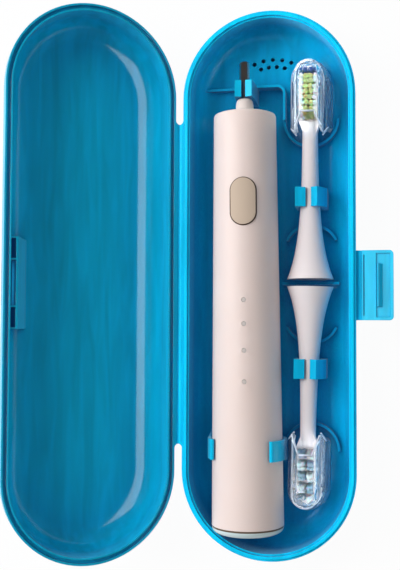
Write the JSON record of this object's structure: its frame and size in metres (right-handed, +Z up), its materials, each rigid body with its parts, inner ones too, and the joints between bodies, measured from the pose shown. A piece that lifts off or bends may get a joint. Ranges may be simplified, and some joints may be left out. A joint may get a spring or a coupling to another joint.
{
  "type": "electric toothbrush travel case",
  "caption": "Round-ended hinged travel case, shown open, with a snap latch, moulded clips, a sonic brush handle and brush heads under clear caps.",
  "frame": {"origin": "centre of the base's flat underside", "axes": "+X across the base towards the latch, +Y along the base towards the brush's drive shaft, +Z up out of the open base"},
  "size_m": [0.1461, 0.215, 0.0584],
  "materials": {
    "case_cyan": "glossy translucent-look moulded polypropylene",
    "handle_white": "satin moulded ABS, warm white",
    "button_beige": "soft-touch moulded elastomer",
    "seal_white": "moulded silicone",
    "foot_pale": "moulded ABS, pale grey-green",
    "gasket_tan": "moulded elastomer",
    "steel": "drawn stainless steel",
    "brass_bearing": "sintered bronze",
    "frame_grey": "moulded glass-filled nylon",
    "motor_can": "drawn, nickel-plated steel",
    "cell_wrap": "shrink-wrapped cell can",
    "board_green": "solder-masked laminate",
    "switch_black": "moulded switch body",
    "membrane_grey": "moulded silicone",
    "light_guide": "clear moulded light guides",
    "copper": "enamelled copper winding",
    "ferrite": "pressed ferrite",
    "bristle_mix": "drawn nylon filament, green among white and grey",
    "bristle_white": "drawn nylon filament, white",
    "clear_cap": "clear moulded polystyrene"
  },
  "bodies": {
    "base": {"base_shell": "case_cyan", "support_ribs": "case_cyan", "shaft_clip": "case_cyan", "handle_clip": "case_cyan", "upper_neck_clip": "case_cyan", "lower_neck_clip": "case_cyan", "living_hinge": "case_cyan", "latch_hinge": "case_cyan"},
    "lid": {"lid_shell": "case_cyan"},
    "latch": {"latch_flap": "case_cyan"},
    "handle": {"handle_housing": "handle_white", "nose_seal": "seal_white", "foot_cap": "foot_pale", "foot_gasket": "gasket_tan", "inner_frame": "frame_grey", "drive_motor": "motor_can", "shaft_bearing": "brass_bearing", "battery_cell": "cell_wrap", "control_board": "board_green", "tact_switch": "switch_black", "button_membrane": "membrane_grey", "indicator_lights": "light_guide", "charging_coil": "copper", "coil_core": "ferrite"},
    "shaft": {"drive_shaft": "steel"},
    "button": {"power_button": "button_beige"},
    "upper_head": {"upper_head_stem": "handle_white", "upper_bristles": "bristle_mix", "upper_shaft_socket": "steel"},
    "lower_head": {"lower_head_stem": "handle_white", "lower_bristles": "bristle_white", "lower_shaft_socket": "steel"},
    "upper_cap": {"upper_head_cap": "clear_cap"},
    "lower_cap": {"lower_head_cap": "clear_cap"}
  },
  "joints": [
    {"name": "lid_hinge", "type": "hinge", "parent": "base", "child": "lid", "pos_m": [-0.0355, 0, 0.0185], "axis": [0, -1, 0], "range_deg": [-145, 35]},
    {"name": "latch_hinge", "type": "hinge", "parent": "base", "child": "latch", "pos_m": [0.03565, -0.0012, 0.0165], "axis": [0, 1, 0], "range_deg": [-90, 60]},
    {"name": "handle_lift", "type": "slide", "parent": "base", "child": "handle", "axis": [0, 0, 1], "range_m": [0, 0.05], "deforming": ["shaft_clip", "handle_clip"]},
    {"name": "shaft_twist", "type": "hinge", "parent": "handle", "child": "shaft", "pos_m": [-0.0088, 0, 0.0164], "axis": [-0.0094, 1, 0], "range_deg": [-5, 5]},
    {"name": "button_press", "type": "slide", "parent": "handle", "child": "button", "axis": [-0.0785, -0.0007, -0.9969], "range_m": [0, 0.0006], "stiffness_N_per_m": 2000},
    {"name": "upper_head_lift", "type": "slide", "parent": "base", "child": "upper_head", "axis": [0, 0, 1], "range_m": [0, 0.05], "deforming": ["upper_neck_clip"]},
    {"name": "lower_head_lift", "type": "slide", "parent": "base", "child": "lower_head", "axis": [0, 0, 1], "range_m": [0, 0.05], "deforming": ["lower_neck_clip"]},
    {"name": "upper_cap_lift", "type": "slide", "parent": "upper_head", "child": "upper_cap", "axis": [0, 0, 1], "range_m": [0, 0.03]},
    {"name": "lower_cap_lift", "type": "slide", "parent": "lower_head", "child": "lower_cap", "axis": [0, 0, 1], "range_m": [0, 0.03]}
  ]
}
